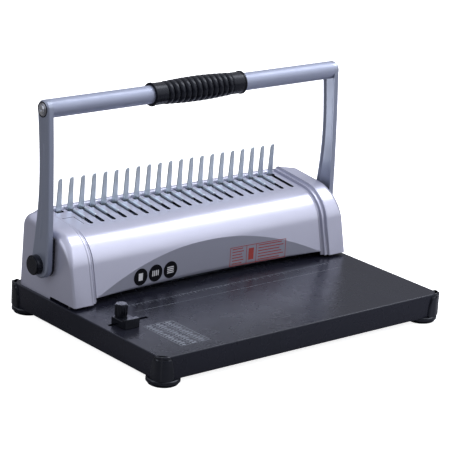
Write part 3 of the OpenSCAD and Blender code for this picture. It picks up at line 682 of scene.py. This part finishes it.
def base_shell():
    """Folded sheet base: rounded upper edges, open below, with its three openings."""
    edge_r = 1.5 * MM
    corner_r = 8 * MM
    sheet = 1.5 * MM
    rings = []
    outer = [(0, BASE_HI.z - BASE_LO.z)] + fillet(edge_r, 6)
    for inset, drop in outer:
        rings.append([(x, y, BASE_HI.z - drop)
                      for x, y in rounded_rect(BASE_LO, BASE_HI, corner_r, inset)])
    shell = loft(rings, last_face=True)
    base = finish_mesh("base_shell", shell, "root", "black_sheet", smooth_angle=40)
    wall = base.modifiers.new("sheet", "SOLIDIFY")
    wall.thickness = sheet
    wall.offset = -1
    openings = bmesh.new()
    die_lo, die_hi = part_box("lower_die")
    add_box(openings, (die_lo.x, die_lo.y + 6 * MM, TABLE_Z - 4 * MM),
            (die_hi.x, die_hi.y - 6 * MM, TABLE_Z + 4 * MM))
    slot_half = 2.3 * MM
    add_box(openings, (GUIDE_X - 15 * MM, GUIDE_Y - slot_half, TABLE_Z - 4 * MM),
            (GUIDE_X + 33 * MM, GUIDE_Y + slot_half, TABLE_Z + 4 * MM))
    play = 0.3 * MM
    add_box(openings, (BASE_HI.x - 5 * MM, TRAY_LO.y - play, TRAY_LO.z - play),
            (BASE_HI.x + 5 * MM, TRAY_HI.y + play, TRAY_HI.z + play))
    cut(base, cutter_object("base_openings", openings, "black_sheet"))
    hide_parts("base_plate")
    return base


def post_ring(z, width, proud):
    """Plan outline of a corner post at one height, in the corner whose walls run to +X and +Y."""
    corner = 8 * MM
    bite = 0.4 * MM
    ends = 6
    wing = []
    for k in range(ends + 1):
        u = 1 - math.sin(math.pi / 2 * k / ends)
        wing.append((width - 2 * MM * (1 - u), -proud * math.sqrt(max(0, 1 - u * u))))
    outer = wing + [(corner + 0.2 * MM, -proud)]
    turn = 10
    bend = [(corner - (corner + proud) * math.sin(math.pi / 2 * k / turn),
             corner - (corner + proud) * math.cos(math.pi / 2 * k / turn))
            for k in range(turn + 1)]
    other = [(y, x) for x, y in outer][::-1]
    inner = [(bite, width), (bite, bite), (width, bite)]
    return [(x, y, z) for x, y in outer + bend + other + inner]


def corner_posts():
    """Glossy moulded posts: a round column with two arched wings on a disc foot."""
    foot_z = 3 * MM
    foot_r = 17 * MM
    foot_c = foot_r - 4 * MM
    wall_z = BASE_LO.z
    rise = TABLE_Z + 0.8 * MM - wall_z
    posts = bmesh.new()
    feet = bmesh.new()
    steps = 30
    for mx in (-1, 1):
        for my in (-1, 1):
            rings = []
            for k in range(steps + 1):
                share = math.sin(math.pi / 2 * k / steps)
                width = (7.5 + 8 * math.sqrt(max(0, 1 - share ** 2))) * MM
                dome = max(0, share - 0.95) / 0.05
                neck = 0.35 * math.exp(-((share - 0.86) / 0.03) ** 2)
                proud = 2 * MM * (math.sqrt(max(0.01, 1 - 0.9 * dome ** 2)) - neck)
                rings.append(post_ring(wall_z + rise * share, width, proud))
            add_loft(posts, rings, mx, my)
            disc = [(foot_z - 0.4 * MM, foot_r - 1 * MM), (foot_z + 0.2 * MM, foot_r)]
            disc += [(wall_z - drop, foot_r - inset) for inset, drop in fillet(1.6 * MM, 5)]
            add_loft(posts, disc_rings(foot_c, disc), mx, my)
            pad_r = foot_r - 2 * MM
            pad = [(0, pad_r - 1 * MM), (0.6 * MM, pad_r), (foot_z, pad_r)]
            add_loft(feet, disc_rings(foot_c, pad), mx, my)
    column = finish_mesh("moulded_posts", posts, "root", "black_plastic", "glossy_black")
    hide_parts("corner_posts")
    rubber = finish_mesh("round_feet", feet, "root", "foot_rubber")
    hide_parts("rubber_feet")


def disc_rings(centre, profile, steps=56):
    """Rings of (height, radius) pairs about an upright axis at (centre, centre)."""
    rings = []
    for z, radius in profile:
        rings.append([(centre + radius * math.cos(2 * math.pi * k / steps),
                       centre + radius * math.sin(2 * math.pi * k / steps), z)
                      for k in range(steps)])
    return rings


def add_loft(mesh_data, rings, mx, my):
    """Closed skin through rings of the front left corner, moved to one of the four corners."""
    placed = []
    for ring in rings:
        placed.append([(-mx * (BASE_LO.x + x), -my * (BASE_LO.y + y), z) for x, y, z in ring])
    rows = [[mesh_data.verts.new(point) for point in ring] for ring in placed]
    count = len(rows[0])
    for row, following in zip(rows, rows[1:]):
        for k in range(count):
            n = (k + 1) % count
            mesh_data.faces.new((row[k], row[n], following[n], following[k]))
    mesh_data.faces.new(rows[0])
    mesh_data.faces.new(rows[-1])


# ---------- handle ----------

ARM_BOW = 4.5 * MM
ARM_LOW_R = 14 * MM
ARM_TOP_R = 9.5 * MM
ARM_RUN = TUBE.z - PIVOT.z


def arm_mid(t):
    foot_y = PIVOT.y - 2 * MM
    return foot_y + (TUBE.y - foot_y) * t - ARM_BOW * math.sin(math.pi * t)


def arm_half(t):
    slack = 1.4 * MM
    waist = ARM_LOW_R - ARM_TOP_R + slack
    return ARM_LOW_R - waist * math.sin(math.pi / 2 * min(1, 1.5 * t)) + slack * t ** 4


def arm_outline(trim):
    """(y, z) outline of an arm, set in by trim: up its front edge, round the top, down the rear."""
    steps = 28
    rounding = 12
    points = []
    foot_y = PIVOT.y - 2 * MM
    for k in range(steps + 1):
        t = 0.02 + 0.96 * k / steps
        points.append((arm_mid(t) - arm_half(t) + trim, PIVOT.z + ARM_RUN * t))
    for k in range(1, rounding):
        a = math.pi * (1 - k / rounding)
        points.append((TUBE.y + (ARM_TOP_R - trim) * math.cos(a),
                       TUBE.z + (ARM_TOP_R - trim) * math.sin(a)))
    for k in range(steps, -1, -1):
        t = 0.02 + 0.96 * k / steps
        points.append((arm_mid(t) + arm_half(t) - trim, PIVOT.z + ARM_RUN * t))
    for k in range(1, rounding):
        a = -math.pi * k / rounding
        points.append((foot_y + (ARM_LOW_R - trim) * math.cos(a),
                       PIVOT.z + (ARM_LOW_R - trim) * math.sin(a)))
    return points


def pressed_arm(name, side):
    """Pressed steel arm: flat web with a rounded rim that turns inwards."""
    out_x = ARM_HI.x - 0.8 * MM
    rim_r = 2.4 * MM
    sheet = 1.5 * MM
    levels = [(ARM_LO.x, 0.0)]
    for inset, drop in fillet(rim_r, 6):
        levels.append((out_x - drop, inset))
    rings = [[(x * side, y, z) for y, z in arm_outline(inset)] for x, inset in levels]
    recess = 1.6 * MM
    inner = [(ARM_LO.x + recess, rim_r + 1.2 * MM), (ARM_LO.x + recess * 0.6, rim_r + 0.2 * MM),
             (ARM_LO.x + 0.3 * MM, sheet), (ARM_LO.x, sheet - 0.5 * MM)]
    inner_rings = [[(x * side, y, z) for y, z in arm_outline(inset)] for x, inset in inner]
    skin = loft(inner_rings + rings, first_face=True, last_face=True)
    arm = finish_mesh(name + "_pressing", skin, "handle_assembly", "arm_paint", smooth_angle=32)
    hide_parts(name)
    rib = rib_mesh(name + "_rib", side, out_x)
    return arm, rib


def rib_mesh(name, side, out_x):
    """Long stiffening bead pressed out of the arm's web."""
    steps = 30
    across = 8
    t0, t1 = 0.16, 0.80
    half = 2.8 * MM
    rise = 0.8 * MM
    bead = bmesh.new()
    rows = []
    for k in range(steps + 1):
        t = t0 + (t1 - t0) * k / steps
        from_end = min(k, steps - k) / 3
        taper = math.sin(math.pi / 2 * min(1, from_end))
        row = []
        for j in range(across + 1):
            u = -1 + 2 * j / across
            height = rise * taper * (1 - u * u)
            row.append(bead.verts.new((
                (out_x - 0.05 * MM + height) * side,
                arm_mid(t) + half * u * max(taper, 0.05),
                PIVOT.z + ARM_RUN * t)))
        rows.append(row)
    for a, b in zip(rows, rows[1:]):
        for j in range(across):
            bead.faces.new((a[j], a[j + 1], b[j + 1], b[j]))
    return finish_mesh(name, bead, "handle_assembly", "arm_paint", smooth_angle=80)


def screw_rings():
    """Dark ring round the screw at the top of each arm, and the dished washer inside it."""
    out_x = ARM_HI.x - 0.8 * MM
    for side in (1, -1):
        centre = (out_x * side, TUBE.y, TUBE.z)
        rim = [(-0.3 * MM, 6.6 * MM), (0.25 * MM, 6.8 * MM), (0.5 * MM, 7.3 * MM),
               (0.35 * MM, 7.9 * MM), (-0.3 * MM, 8.2 * MM)]
        ring = lathe(rim + [rim[0]], centre, (side, 0, 0), 48, ends=False)
        finish_mesh(f"screw_ring_{'right' if side > 0 else 'left'}", ring, "handle_assembly",
                    "black_plastic", "glossy_black")
        dish = [(-0.2 * MM, 5.2 * MM), (0.15 * MM, 5.6 * MM), (0.15 * MM, 6.4 * MM),
                (-0.2 * MM, 6.8 * MM)]
        washer = lathe(dish + [dish[0]], centre, (side, 0, 0), 48, ends=False)
        finish_mesh(f"screw_washer_{'right' if side > 0 else 'left'}", washer,
                    "handle_assembly", "fastener")


def rubber_grip():
    """Ringed rubber grip: plain collars, thin end rims and twelve rounded rings."""
    half = (GRIP_HI.x - GRIP_LO.x) / 2
    collar = 17 * MM
    rings = 12
    ringed = 2 * (half - collar)
    pitch = ringed / rings
    rim_r = (GRIP_HI.z - GRIP_LO.z) / 2 - 1.1 * MM
    profile = [(-half, TUBE_R), (-half, rim_r - 0.5 * MM), (-half + 0.4 * MM, rim_r),
               (-half + 1.6 * MM, rim_r), (-half + 2 * MM, rim_r - 0.8 * MM),
               (-half + 3 * MM, 11.6 * MM), (-half + collar - 1 * MM, 11.6 * MM)]
    for k in range(rings):
        middle = -ringed / 2 + (k + 0.5) * pitch
        crest = 12 * MM + 1.5 * MM * math.cos(math.pi * middle / ringed)
        for u in (-0.5, -0.44, -0.36, -0.2, 0, 0.2, 0.36, 0.44):
            depth = (abs(u) / 0.5) ** 4
            profile.append((middle + u * pitch, crest - 2.2 * MM * depth))
    mirrored = [(-along, radius) for along, radius in profile[:7]]
    profile += mirrored[::-1]
    skin = lathe(profile, TUBE, (1, 0, 0), 72)
    grip = finish_mesh("ringed_grip", skin, "handle_assembly", "grip_rubber", smooth_angle=50)
    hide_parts("grip")
    return grip


# ---------- return springs ----------

def coil_springs():
    """Two wound springs under the press bar."""
    lo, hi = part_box("return_springs")
    coil_r = (hi.y - lo.y) / 2
    wire_r = 0.9 * MM
    mean_r = coil_r - wire_r
    turns = 9
    steps = 20
    sides = 8
    wire = bmesh.new()
    for side in (-1, 1):
        centre_x = side * (hi.x - coil_r)
        centre_y = (lo.y + hi.y) / 2
        rows = []
        for k in range(turns * steps + 1):
            turn = 2 * math.pi * k / steps
            along = lo.z + wire_r + (hi.z - lo.z - 2 * wire_r) * k / (turns * steps)
            row = []
            for j in range(sides):
                around = 2 * math.pi * j / sides
                radius = mean_r + wire_r * math.cos(around)
                row.append(wire.verts.new((centre_x + radius * math.cos(turn),
                                           centre_y + radius * math.sin(turn),
                                           along + wire_r * math.sin(around))))
            rows.append(row)
        for a, b in zip(rows, rows[1:]):
            for j in range(sides):
                n = (j + 1) % sides
                wire.faces.new((a[j], a[n], b[n], b[j]))
        wire.faces.new(rows[0])
        wire.faces.new(rows[-1])
    springs = finish_mesh("coil_springs", wire, "root", "tool_steel")
    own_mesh(springs)
    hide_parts("return_springs")


# ---------- printing ----------

def add_strip(mesh_data, corners):
    mesh_data.faces.new([mesh_data.verts.new(corner) for corner in corners])


def table_patch(mesh_data, x0, y0, x1, y1, lift=0.06 * MM):
    z = TABLE_Z + lift
    add_strip(mesh_data, [(x0, y0, z), (x1, y0, z), (x1, y1, z), (x0, y1, z)])


def table_scale():
    """Faint ruled lines and ticks on the table in front of the throat."""
    ink = bmesh.new()
    thin = 0.35 * MM
    x0, x1 = -130 * MM, 147 * MM
    for y in (6 * MM, -12 * MM):
        table_patch(ink, x0, y, x1, y + thin)
    step = 5 * MM
    count = round((x1 - x0) / step)
    for k in range(count + 1):
        x = x0 + k * step
        tall = 5 * MM if k % 2 == 0 else 2.5 * MM
        table_patch(ink, x, 6 * MM - tall, x + thin, 6 * MM)
    finish_mesh("table_scale", ink, "root", "black_sheet", "print_grey")


def size_chart():
    """Chart of plain rows and columns on the left of the table."""
    ink = bmesh.new()
    thin = 0.5 * MM
    x0, x1, y0, y1 = -148 * MM, -113 * MM, -111 * MM, -50 * MM
    rows, columns = 14, 3
    for k in range(rows + 1):
        y = y0 + (y1 - y0) * k / rows
        table_patch(ink, x0, y, x1, y + thin)
    for k in range(columns + 1):
        x = x0 + (x1 - x0) * k / columns
        table_patch(ink, x, y0, x + thin, y1 + thin)
    for row in range(rows):
        for column in range(columns):
            y = y0 + (y1 - y0) * (row + 0.3) / rows
            x = x0 + (x1 - x0) * (column + 0.2) / columns
            wide = (0.35 + 0.2 * ((row * 3 + column * 2) % 4) / 3) * (x1 - x0) / columns
            table_patch(ink, x, y, x + wide, y + 1.6 * MM)
    finish_mesh("size_chart", ink, "root", "black_sheet", "print_grey")


def on_scoop(x, z, lift=0.1 * MM):
    return (x, scoop_y(x) - lift, z)


def scoop_patch(mesh_data, x0, z0, x1, z1, lift=0.1 * MM, columns=6):
    """Patch that follows the curved wall of the hollow."""
    rows = []
    for k in range(columns + 1):
        x = x0 + (x1 - x0) * k / columns
        rows.append([mesh_data.verts.new(on_scoop(x, z, lift)) for z in (z0, z1)])
    for a, b in zip(rows, rows[1:]):
        mesh_data.faces.new((a[0], b[0], b[1], a[1]))


def scoop_disc(mesh_data, x, z, radius, lift=0.1 * MM, steps=40):
    ring = [mesh_data.verts.new(on_scoop(x + radius * math.cos(2 * math.pi * k / steps),
                                         z + radius * math.sin(2 * math.pi * k / steps), lift))
            for k in range(steps)]
    mesh_data.faces.new(ring)


def badges():
    """Three round marks with plain symbols: a sheet, a row of holes and a stack."""
    radius = 9.2 * MM
    places = [(-92.5 * MM, 49.4 * MM), (-72.5 * MM, 50 * MM), (-52.5 * MM, 50 * MM)]
    discs = bmesh.new()
    signs = bmesh.new()
    lift = 0.16 * MM
    for x, z in places:
        scoop_disc(discs, x, z, radius)
    x, z = places[0]
    scoop_patch(signs, x - 2.8 * MM, z - 4 * MM, x + 2.8 * MM, z + 4 * MM, lift, 2)
    x, z = places[1]
    for k in range(4):
        left = x - 4.4 * MM + 2.4 * MM * k
        scoop_patch(signs, left, z - 3 * MM, left + 1.3 * MM, z + 3 * MM, lift, 1)
    x, z = places[2]
    for k in range(4):
        low = z - 3.6 * MM + 2 * MM * k
        scoop_patch(signs, x - 4.4 * MM, low, x + 4.4 * MM, low + 1.1 * MM, lift, 3)
    finish_mesh("badge_discs", discs, "root", "silver_plastic", "print_black")
    finish_mesh("badge_signs", signs, "root", "silver_plastic", "print_white")


def printed_panel():
    """Outlined panel of plain bars on the right of the hollow."""
    x0, x1, z0, z1 = 28 * MM, 103 * MM, 39 * MM, 60 * MM
    thin = 0.7 * MM
    ink = bmesh.new()
    lift = 0.12 * MM
    for low in (z0, z1 - thin):
        scoop_patch(ink, x0, low, x1, low + thin, lift, 20)
    divide = x0 + 22 * MM
    for left in (x0, divide, divide + 13 * MM, x1 - thin):
        scoop_patch(ink, left, z0, left + thin, z1, lift, 1)
    rows = 6
    for k in range(rows):
        z = z0 + 2.6 * MM + (z1 - z0 - 5 * MM) * k / (rows - 1) - 0.5 * MM
        share = 0.82 + 0.15 * ((k * 5) % 3) / 2
        scoop_patch(ink, x0 + 3 * MM, z, x0 + 3 * MM + 16 * MM * share, z + 1 * MM, lift, 4)
        scoop_patch(ink, divide + 16 * MM, z, divide + 16 * MM + 35 * MM * share, z + 1 * MM,
                    lift, 10)
    scoop_patch(ink, divide + 3 * MM, z0 + 4 * MM, divide + 10 * MM, z1 - 4 * MM, lift, 3)
    finish_mesh("printed_panel", ink, "root", "silver_plastic", "print_red")


# ---------- CAD nodes that keep their shape ----------

def dress_cad_nodes():
    """Gives every CAD node the material of its slot, and some a fine rounded edge."""
    slots = {part["node"]: part["material_slot"] for part in frame["record"]["subparts"]}
    special = {
        "handle_tube": "tube_paint",
        "guide_knob": "glossy_black",
        "edge_guide": "glossy_black",
    }
    round_edges = {
        "edge_guide": 0.7 * MM,
        "finger_plate": 0.35 * MM,
        "hook_plate": 0.3 * MM,
        "arm_pads": 0.6 * MM,
        "pivot_caps": 0.8 * MM,
        "handle_screws": 0.4 * MM,
        "rear_cover": 0.4 * MM,
        "guide_knob": 0.2 * MM,
        "tube_plugs": 0.3 * MM,
        "chip_tray": 0.4 * MM,
    }
    for name, node in frame["nodes"].items():
        material = MAT[special.get(name, slots[name])]
        if not node.material_slots:
            node.data.materials.append(material)
        for place in node.material_slots:
            place.material = material
        if name in round_edges:
            weld = node.modifiers.new("weld", "WELD")
            weld.merge_threshold = 0.01 * MM
            add_bevel(node, round_edges[name], 3, 32)


# ---------- light, floor and camera ----------

def area_light(name, place, target, size, power, colour=(1, 1, 1)):
    data = bpy.data.lights.new(name, "AREA")
    data.shape = "RECTANGLE"
    data.size, data.size_y = size
    data.energy = power
    data.color = colour
    light = bpy.data.objects.new(name, data)
    light.location = place
    light.rotation_euler = (Vector(target) - Vector(place)).to_track_quat("-Z", "Y").to_euler()
    bpy.context.scene.collection.objects.link(light)
    return light


def camera_ray_switch(tree, seen, unseen):
    """Mixes two colours or shaders: one for what the camera sees, one for light and reflections."""
    path = tree.nodes.new("ShaderNodeLightPath")
    mix = tree.nodes.new("ShaderNodeMixShader")
    tree.links.new(path.outputs["Is Camera Ray"], mix.inputs["Fac"])
    tree.links.new(unseen, mix.inputs[1])
    tree.links.new(seen, mix.inputs[2])
    return mix.outputs["Shader"]


def studio_world():
    """White behind the object; a room that is dim at the horizon and bright overhead."""
    world = bpy.data.worlds.new("studio")
    world.use_nodes = True
    tree = world.node_tree
    white = tree.nodes["Background"]
    white.inputs["Color"].default_value = (1, 1, 1, 1)
    white.inputs["Strength"].default_value = 1.0
    place = tree.nodes.new("ShaderNodeTexCoord")
    parts = tree.nodes.new("ShaderNodeSeparateXYZ")
    ramp = tree.nodes.new("ShaderNodeValToRGB")
    ramp.color_ramp.elements[0].position = 0.0
    ramp.color_ramp.elements[0].color = (0.10, 0.10, 0.12, 1)
    ramp.color_ramp.elements[1].position = 1.0
    ramp.color_ramp.elements[1].color = (0.90, 0.93, 1.0, 1)
    for height, level in ((0.30, 0.27), (0.46, 0.62), (0.7, 0.8)):
        stop = ramp.color_ramp.elements.new(height)
        stop.color = (level, level * 1.02, level * 1.12, 1)
    room = tree.nodes.new("ShaderNodeBackground")
    tree.links.new(place.outputs["Generated"], parts.inputs["Vector"])
    tree.links.new(parts.outputs["Z"], ramp.inputs["Fac"])
    tree.links.new(ramp.outputs["Color"], room.inputs["Color"])
    output = tree.nodes["World Output"]
    both = camera_ray_switch(tree, white.outputs["Background"], room.outputs["Background"])
    tree.links.new(both, output.inputs["Surface"])
    bpy.context.scene.world = world


def studio_floor():
    """White paper sweep: bright to the camera, grey in reflections."""
    sweep = bmesh.new()
    half = 6.0
    low = -0.1 * MM
    add_strip(sweep, [(x, y, low) for x, y in
                      ((-half, -half), (half, -half), (half, half), (-half, half))])
    mesh = bpy.data.meshes.new("floor")
    sweep.to_mesh(mesh)
    sweep.free()
    floor = bpy.data.objects.new("floor", mesh)
    bpy.context.scene.collection.objects.link(floor)
    mesh.materials.append(floor_paper())


def floor_paper():
    """Paper that glows for the camera; reflections see grey, darker at the rear left."""
    paper = Shader("floor_paper", (0.9, 0.9, 0.9), roughness=0.9, specular=0.0)
    paper.bsdf.inputs["Emission Color"].default_value = (1, 1, 1, 1)
    paper.bsdf.inputs["Emission Strength"].default_value = 0.86
    dull = paper.node("ShaderNodeBsdfDiffuse")
    place = paper.node("ShaderNodeTexCoord")
    across = paper.tree.nodes.new("ShaderNodeVectorMath")
    across.operation = "DOT_PRODUCT"
    across.inputs[1].default_value = (0.7, -0.7, 0)
    shade_ramp = paper.node("ShaderNodeValToRGB")
    stops = shade_ramp.color_ramp.elements
    stops[0].position, stops[0].color = 0.0, (0.22, 0.215, 0.21, 1)
    stops[1].position, stops[1].color = 0.4, (0.42, 0.42, 0.45, 1)
    paper.link(place.outputs["Object"], across.inputs[0])
    shift = paper.tree.nodes.new("ShaderNodeMath")
    shift.operation = "ADD"
    shift.inputs[1].default_value = 0.2
    paper.link(across.outputs["Value"], shift.inputs[0])
    paper.link(shift.outputs["Value"], shade_ramp.inputs["Fac"])
    paper.link(shade_ramp.outputs["Color"], dull.inputs["Color"])
    output = paper.tree.nodes["Material Output"]
    both = camera_ray_switch(paper.tree, paper.bsdf.outputs["BSDF"], dull.outputs["BSDF"])
    paper.link(both, output.inputs["Surface"])
    return paper.material


def studio():
    """Soft light from above, the left and the front right, and a card for the right arm."""
    studio_world()
    studio_floor()
    bpy.context.scene.view_settings.view_transform = "Standard"
    cool = (0.94, 0.96, 1.0)
    area_light("top_light", (0.9, -0.1, 1.25), (0, 0.06, 0.05), (0.6, 0.9), 9, cool)
    area_light("left_light", (-1.7, 0.5, 0.8), (0, 0.05, 0.12), (0.8, 1.1), 4, cool)
    area_light("front_light", (1.2, -1.6, 1.15), (0, 0.0, 0.08), (1.5, 1.9), 11.5, cool)
    card = area_light("rear_card", (-0.06, 0.42, 0.05), (0.186, 0.07, 0.16), (0.3, 0.2), 0.5, cool)
    card.visible_camera = False
    receivers = bpy.data.collections.new("card_receivers")
    receivers.objects.link(bpy.data.objects["arm_right_pressing"])
    card.light_linking.receiver_collection = receivers


def camera():
    """Long lens from the front left, a little above, with a slight roll."""
    azimuth = math.radians(-40.2)
    elevation = math.radians(17.55)
    roll = math.radians(3.42)
    distance = 2.15375
    target = Vector((0, 10.3 * MM, 96.4 * MM))
    back = Vector((math.sin(azimuth) * math.cos(elevation),
                   -math.cos(azimuth) * math.cos(elevation), math.sin(elevation)))
    right = Vector((math.cos(azimuth), math.sin(azimuth), 0))
    up = back.cross(right)
    turned_right = math.cos(roll) * right + math.sin(roll) * up
    turned_up = -math.sin(roll) * right + math.cos(roll) * up
    data = bpy.data.cameras.new("camera")
    data.sensor_width = 36
    data.lens = 165.9
    data.clip_end = 50
    eye = bpy.data.objects.new("camera", data)
    basis = Matrix((turned_right, turned_up, back)).transposed().to_4x4()
    eye.matrix_world = Matrix.Translation(target + distance * back) @ basis
    bpy.context.scene.collection.objects.link(eye)
    bpy.context.scene.camera = eye


def even_normals():
    """Keeps flat faces flat beside rounded edges, after all other modifiers."""
    for piece in bpy.context.scene.objects:
        if piece.get("even_normals"):
            weighted = piece.modifiers.new("even_normals", "WEIGHTED_NORMAL")
            weighted.keep_sharp = True


# ---------- build ----------

dress_cad_nodes()
base_shell()
corner_posts()
end_cap("end_cap_right", 1)
end_cap("end_cap_left", -1)
centre_cover()
pressed_arm("arm_right", 1)
pressed_arm("arm_left", -1)
screw_rings()
rubber_grip()
table_scale()
size_chart()
badges()
printed_panel()
coil_springs()
even_normals()
studio()
camera()
